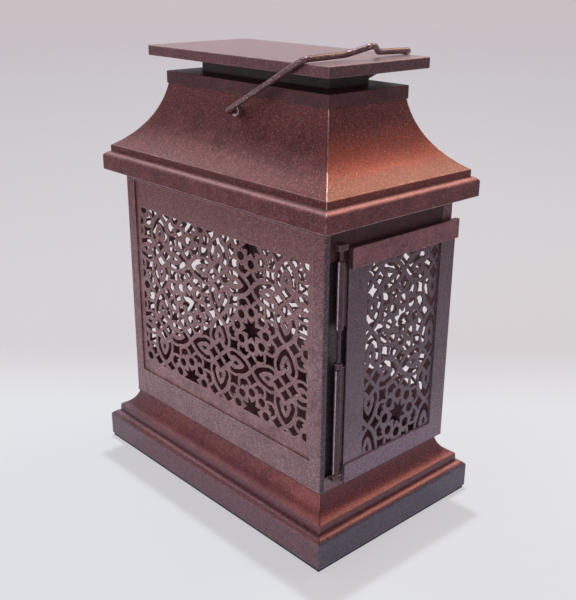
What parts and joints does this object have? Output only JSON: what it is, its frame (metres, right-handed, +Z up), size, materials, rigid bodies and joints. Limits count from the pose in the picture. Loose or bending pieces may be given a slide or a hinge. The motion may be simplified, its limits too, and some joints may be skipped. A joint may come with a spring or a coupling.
{
  "type": "candle lantern",
  "caption": "Rectangular pierced sheet-metal candle lantern with moulded base and roof, raised vent plate, hinged end door and folding bail handle.",
  "frame": {"origin": "centre of the underside of the foot pad, on the surface the lantern stands on", "axes": "+Z up; X along the wide faces, with the door on the +X end; -Y out of the wide front face"},
  "size_m": [0.2034, 0.127, 0.2686],
  "materials": {
    "body_paint": "mauve-brown paint with a fine metallic fleck",
    "door_paint": "mauve-grey paint with a fine metallic fleck",
    "base_paint": "reddish-brown paint, half gloss",
    "roof_paint": "reddish-brown paint, half gloss",
    "plate_paint": "mauve-brown paint, half gloss",
    "dark_paint": "dark paint",
    "bail_paint": "dark brown paint, half gloss",
    "hinge_paint": "dark paint, worn bright along the edges",
    "foot_pad": "dull dark pad"
  },
  "bodies": {
    "lantern": {"base_pad": "foot_pad", "base_plinth": "base_paint", "base_cove": "base_paint", "floor_plate": "dark_paint", "post_front_hinge": "body_paint", "post_front_far": "body_paint", "post_back_door": "body_paint", "post_back_far": "body_paint", "rail_front_bottom": "body_paint", "rail_front_top": "body_paint", "rail_back_bottom": "body_paint", "rail_back_top": "body_paint", "rail_end_bottom": "body_paint", "rail_end_top": "body_paint", "door_sill": "body_paint", "door_head": "body_paint", "panel_front": "body_paint", "panel_back": "body_paint", "panel_end": "body_paint", "lug_lower": "hinge_paint", "lug_upper": "hinge_paint", "hinge_pin": "hinge_paint", "hinge_bead": "hinge_paint", "eave_moulding": "roof_paint", "roof_shell": "roof_paint", "roof_collar": "roof_paint", "vent_neck": "dark_paint", "top_plate": "plate_paint", "eyelet_front": "hinge_paint", "eyelet_back": "hinge_paint"},
    "door": {"door_panel": "door_paint", "door_bar_bottom": "door_paint", "door_bar_free": "door_paint", "door_bar_top": "door_paint", "knuckle_lower": "hinge_paint", "knuckle_upper": "hinge_paint"},
    "bail": {"bail_handle": "bail_paint"}
  },
  "joints": [
    {"name": "door_hinge", "type": "hinge", "parent": "lantern", "child": "door", "pos_m": [0.0897, -0.0405, 0.11], "axis": [0, 0, -1], "range_deg": [0, 150]},
    {"name": "bail_swing", "type": "hinge", "parent": "lantern", "child": "bail", "pos_m": [0, 0, 0.2303], "axis": [0, -1, 0], "range_deg": [0, 123.67]}
  ]
}
